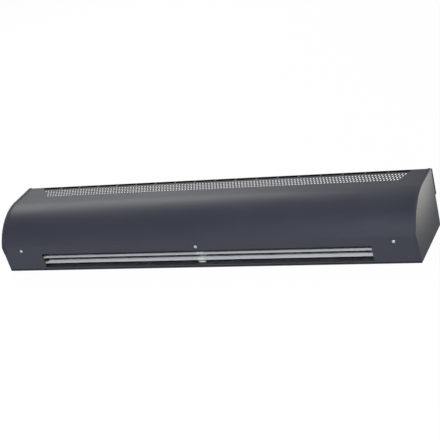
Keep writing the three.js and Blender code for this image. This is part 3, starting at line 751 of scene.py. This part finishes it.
# draws a ring of edges on to each radius and height in turn
def drawRings(bm, edges, rings):
    for radius, height in rings:
        drawn = bmesh.ops.extrude_edge_only(bm, edges=edges)["geom"]
        edges = [part for part in drawn if isinstance(part, bmesh.types.BMEdge)]
        for vert in (part for part in drawn if isinstance(part, bmesh.types.BMVert)):
            flat = Vector((vert.co.x, vert.co.y, 0)).normalized() * radius
            vert.co = (flat.x, flat.y, height)
    return edges


def makeScrew(node, seat, outward, cfg):
    bm = bmesh.new()
    cells = 7
    bmesh.ops.create_grid(bm, x_segments=cells, y_segments=cells, size=cells / 2)
    top = cfg["lift"] + cfg["headHeight"]
    # where the grid's lines go: to the sides, waist and ends of the recess and to the face's rim
    lines = {
        0.5: cfg["recessWidth"] / 2,
        1.5: cfg["recessArm"] * cfg["recessWaist"],
        2.5: cfg["recessArm"],
        3.5: cfg["faceRadius"],
    }
    for vert in bm.verts:
        spot = [math.copysign(lines[round(abs(c), 1)], c) for c in vert.co.xy]
        vert.co = (spot[0], spot[1], top)
    rim = [edge for edge in bm.edges if edge.is_boundary]
    for vert in {v for edge in rim for v in edge.verts}:
        flat = Vector((vert.co.x, vert.co.y, 0)).normalized() * cfg["faceRadius"]
        vert.co = (flat.x, flat.y, top)

    def inRecess(face):
        narrow, wide = sorted(abs(c) for c in face.calc_center_bounds().xy)
        return narrow < cfg["recessWidth"] / 2 and wide < cfg["recessArm"]

    cross = facesAt(bm, inRecess)
    sunk = bmesh.ops.extrude_face_region(bm, geom=cross)["geom"]
    bmesh.ops.delete(bm, geom=[face for face in cross if face.is_valid], context="FACES_ONLY")
    for vert in (part for part in sunk if isinstance(part, bmesh.types.BMVert)):
        flat = vert.co.xy * cfg["recessTaper"]
        vert.co = (flat.x, flat.y, top - cfg["recessDepth"])
    radius, lift, edge = cfg["headRadius"], cfg["lift"], cfg["underEdge"]
    shank, pitch, length = cfg["shankRadius"], cfg["threadPitch"], cfg["shankLength"]
    root = shank - cfg["threadDepth"]
    rings = [(radius * across, top - cfg["headHeight"] * down) for across, down in cfg["dome"]]
    rings += [(radius, lift + edge), (radius - edge, lift), (shank, lift)]
    for turn in range(int((length - cfg["plainEnd"]) / pitch)):
        rings += [(root, -(turn + cfg["rootShare"]) * pitch), (shank, -(turn + 1) * pitch)]
    rings += [(root, cfg["tip"] - length), (root * cfg["tipTaper"], -length)]
    end = drawRings(bm, rim, rings)
    bmesh.ops.contextual_create(bm, geom=end)
    bmesh.ops.recalc_face_normals(bm, faces=bm.faces[:])
    stand = Matrix.Translation(seat) @ outward.to_track_quat("Z", "Y").to_matrix().to_4x4()
    bmesh.ops.transform(bm, matrix=stand, verts=bm.verts[:])
    makePiece(camel(node), bm, "zinc_sheet", "casing", [node], screwZinc)


def makeScrews(cfg):
    for node in coverScrews:
        height = cover["screwHeight"]
        makeScrew(node, Vector((middleOf(node).x, stripY(height), height)), stripOut, cfg)
    for node in grilleScrews:
        middle = middleOf(node)
        seat = Vector((middle.x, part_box(node)[0].y + cfg["shankLength"], middle.z))
        makeScrew(node, seat, Vector((0, 1, 0)), cfg)


makeScrews(screw)
print("screws made")


# floor, light and backdrop

studio = {
    "floorSize": 14,
    "floorDrop": 0.5 * mm,      # under the mounting side
    "floorGlow": 0.955,         # share of the floor that stays white in shadow
    "floorColour": (0.92, 0.92, 0.92),
    "skyLow": 1,
    "skyLowEnd": 0.26,          # white up to this height, as the sine of the elevation
    "skyHigh": 0.16,
    "skyHighStart": 0.58,       # dim from this height on
    "skyDiffuse": 0.33,         # share of the sky's light that matt surfaces get
}

softboxes = {
    "rearSoftbox": {
        "place": (-1.9, 1.75, 2.2),
        "target": (0, 0, 0.1),
        "size": (2.4, 0.8),
        "power": 49,
        "colour": (1.0, 0.99, 0.98),
    },
    "frontKey": {
        "place": (1.7, -4.7, 4.2),
        "target": (0, 0, 0.05),
        "size": (0.75, 0.75),
        "power": 450,
        "colour": (0.97, 0.98, 1.0),
    },
}

# on the upper part of the right end panel, fading downwards
endSpot = {
    "place": (2.0, 0.0, 0.2),
    "target": (0.535, 0.0, 0.3),
    "cone": 20.8,               # degrees
    "radius": 0.05,
    "power": 900,
    "colour": (1.0, 0.9, 0.62),
}


# 1 for camera, glossy and transmission rays, 0 for the rest
def seenRays(tree):
    path = tree.nodes.new("ShaderNodeLightPath")
    seen = path.outputs["Is Camera Ray"]
    for ray in ("Is Glossy Ray", "Is Transmission Ray"):
        both = tree.nodes.new("ShaderNodeMath")
        both.operation = "MAXIMUM"
        tree.links.new(seen, both.inputs[0])
        tree.links.new(path.outputs[ray], both.inputs[1])
        seen = both.outputs["Value"]
    return seen


def makeWorld(cfg):
    world = bpy.data.worlds.new("studioWorld")
    bpy.context.scene.world = world
    world.use_nodes = True
    tree = world.node_tree
    background = tree.nodes["Background"]
    coords = tree.nodes.new("ShaderNodeTexCoord")
    split = tree.nodes.new("ShaderNodeSeparateXYZ")
    tree.links.new(coords.outputs["Generated"], split.inputs["Vector"])
    level = ramp(
        tree, split.outputs["Z"], cfg["skyLow"], cfg["skyHigh"],
        fromLow=cfg["skyLowEnd"], fromHigh=cfg["skyHighStart"])
    tree.links.new(level, background.inputs["Color"])
    strength = ramp(tree, seenRays(tree), cfg["skyDiffuse"], 1, fromLow=0, fromHigh=1)
    tree.links.new(strength, background.inputs["Strength"])


def makeFloor(cfg):
    bm = bmesh.new()
    bmesh.ops.create_grid(bm, x_segments=1, y_segments=1, size=cfg["floorSize"] / 2)
    bmesh.ops.translate(bm, verts=bm.verts[:], vec=(0, 0, -cfg["floorDrop"]))
    mesh = bpy.data.meshes.new("floor")
    bm.to_mesh(mesh)
    bm.free()
    floor = bpy.data.objects.new("floor", mesh)
    bpy.context.scene.collection.objects.link(floor)
    material, tree, shader = newMaterial("floorPaper", cfg["floorColour"], metallic=0, roughness=0.9)
    shader.inputs["Specular IOR Level"].default_value = 0
    glow = tree.nodes.new("ShaderNodeEmission")
    mix = tree.nodes.new("ShaderNodeMixShader")
    share = ramp(tree, seenRays(tree), 0, cfg["floorGlow"], fromLow=0, fromHigh=1)
    tree.links.new(share, mix.inputs["Fac"])
    tree.links.new(shader.outputs["BSDF"], mix.inputs[1])
    tree.links.new(glow.outputs["Emission"], mix.inputs[2])
    tree.links.new(mix.outputs["Shader"], tree.nodes["Material Output"].inputs["Surface"])
    mesh.materials.append(material)


def hangLamp(name, data, cfg):
    data.energy = cfg["power"]
    data.color = cfg["colour"]
    lamp = bpy.data.objects.new(name, data)
    bpy.context.scene.collection.objects.link(lamp)
    lamp.location = cfg["place"]
    aim = Vector(cfg["target"]) - Vector(cfg["place"])
    lamp.rotation_euler = aim.to_track_quat("-Z", "Y").to_euler()


def makeSoftbox(name, cfg):
    data = bpy.data.lights.new(name, "AREA")
    data.shape = "RECTANGLE"
    data.size, data.size_y = cfg["size"]
    hangLamp(name, data, cfg)


def makeSpot(name, cfg):
    data = bpy.data.lights.new(name, "SPOT")
    data.spot_size = math.radians(cfg["cone"])
    data.spot_blend = 1
    data.shadow_soft_size = cfg["radius"]
    hangLamp(name, data, cfg)


makeWorld(studio)
makeFloor(studio)
for name, settings in softboxes.items():
    makeSoftbox(name, settings)
makeSpot("endSpot", endSpot)
bpy.context.scene.view_settings.view_transform = "Standard"
print("studio set")


# the CAD nodes that keep their shape

nodeFinishes = {
    "zinc_sheet": [
        "scroll_housing", "vortex_tongue", "bulkhead_left", "bulkhead_right", "motor_bracket",
        "heater_bracket_left", "heater_bracket_right", "cover_bracket_left", "cover_bracket_right",
        "thermal_cutout",
    ],
    "impeller_aluminium": ["impeller"],
    "shaft_steel": ["motor_shaft", "idler_shaft"],
    "black_rubber": ["drive_coupling", "bearing_holder", "cable_grommet"],
    "bronze": ["bearing_bush", "earth_stud"],
    "motor_paint": ["motor_body"],
    "element_steel": ["heater_element_front", "heater_element_rear"],
    "dark_resin": ["motor_capacitor", "heater_relay"],
    "pale_resin": ["terminal_block"],
}


def dressNodes():
    for finish, group in nodeFinishes.items():
        for node in group:
            for place in nodes[node].material_slots:
                place.material = finishes[finish]


dressNodes()
print("nodes dressed")
